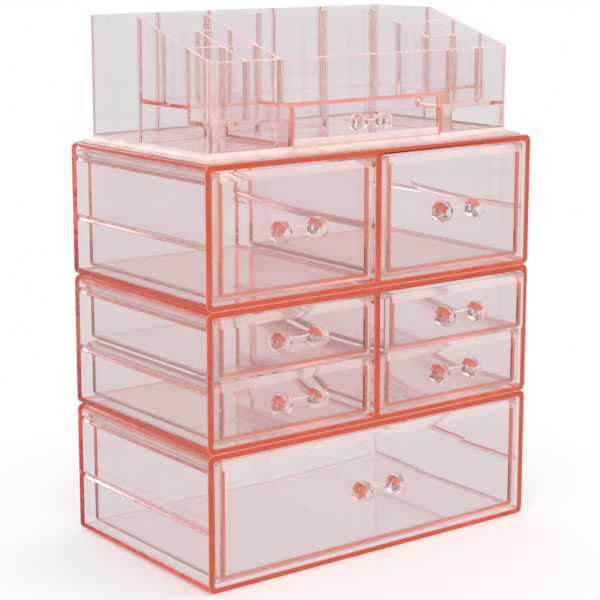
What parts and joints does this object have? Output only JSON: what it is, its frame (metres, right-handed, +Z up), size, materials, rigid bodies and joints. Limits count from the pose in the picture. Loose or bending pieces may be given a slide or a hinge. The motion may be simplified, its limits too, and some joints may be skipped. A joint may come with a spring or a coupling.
{
  "type": "acrylic makeup organizer drawers",
  "caption": "Clear pink make-up organizer: stacked drawer cases with hanging drawers and gem-cut handles, under a sloped compartment tray.",
  "frame": {"origin": "middle of the bottom case's underside, on the surface that it stands on", "axes": "+Z up, -Y towards the drawer fronts and the user, +X to the right seen from the front"},
  "size_m": [0.24, 0.1535, 0.3145],
  "materials": {
    "case_plastic": "clear pink, polished",
    "drawer_plastic": "clear pink, polished",
    "tray_plastic": "clear pale pink, polished",
    "gem_plastic": "clear pink, faceted and polished"
  },
  "bodies": {
    "bottom_case": {"bottom_case": "case_plastic"},
    "middle_case": {"middle_case": "case_plastic"},
    "upper_case": {"upper_case": "case_plastic"},
    "top_tray": {"top_tray": "tray_plastic"},
    "bottom_drawer": {"bottom_drawer": "drawer_plastic", "bottom_handle": "gem_plastic"},
    "middle_lower_left_drawer": {"middle_lower_left_drawer": "drawer_plastic", "middle_lower_left_handle": "gem_plastic"},
    "middle_lower_right_drawer": {"middle_lower_right_drawer": "drawer_plastic", "middle_lower_right_handle": "gem_plastic"},
    "middle_upper_left_drawer": {"middle_upper_left_drawer": "drawer_plastic", "middle_upper_left_handle": "gem_plastic"},
    "middle_upper_right_drawer": {"middle_upper_right_drawer": "drawer_plastic", "middle_upper_right_handle": "gem_plastic"},
    "upper_left_drawer": {"upper_left_drawer": "drawer_plastic", "upper_left_handle": "gem_plastic"},
    "upper_right_drawer": {"upper_right_drawer": "drawer_plastic", "upper_right_handle": "gem_plastic"},
    "tray_drawer": {"tray_drawer": "drawer_plastic", "tray_drawer_handle": "gem_plastic"}
  },
  "joints": [
    {"name": "middle_case_lift", "type": "slide", "parent": "bottom_case", "child": "middle_case", "axis": [0, 0, 1], "range_m": [0, 0.06]},
    {"name": "upper_case_lift", "type": "slide", "parent": "middle_case", "child": "upper_case", "axis": [0, 0, 1], "range_m": [0, 0.06]},
    {"name": "top_tray_lift", "type": "slide", "parent": "upper_case", "child": "top_tray", "axis": [0, 0, 1], "range_m": [0, 0.06]},
    {"name": "bottom_drawer_slide", "type": "slide", "parent": "bottom_case", "child": "bottom_drawer", "axis": [0, -1, 0], "range_m": [0, 0.1]},
    {"name": "middle_lower_left_drawer_slide", "type": "slide", "parent": "middle_case", "child": "middle_lower_left_drawer", "axis": [0, -1, 0], "range_m": [0, 0.1]},
    {"name": "middle_lower_right_drawer_slide", "type": "slide", "parent": "middle_case", "child": "middle_lower_right_drawer", "axis": [0, -1, 0], "range_m": [0, 0.1]},
    {"name": "middle_upper_left_drawer_slide", "type": "slide", "parent": "middle_case", "child": "middle_upper_left_drawer", "axis": [0, -1, 0], "range_m": [0, 0.1]},
    {"name": "middle_upper_right_drawer_slide", "type": "slide", "parent": "middle_case", "child": "middle_upper_right_drawer", "axis": [0, -1, 0], "range_m": [-0.004, 0.096]},
    {"name": "upper_left_drawer_slide", "type": "slide", "parent": "upper_case", "child": "upper_left_drawer", "axis": [0, -1, 0], "range_m": [0, 0.1]},
    {"name": "upper_right_drawer_slide", "type": "slide", "parent": "upper_case", "child": "upper_right_drawer", "axis": [0, -1, 0], "range_m": [0, 0.1]},
    {"name": "tray_drawer_slide", "type": "slide", "parent": "top_tray", "child": "tray_drawer", "axis": [0, -1, 0], "range_m": [0, 0.05]}
  ]
}
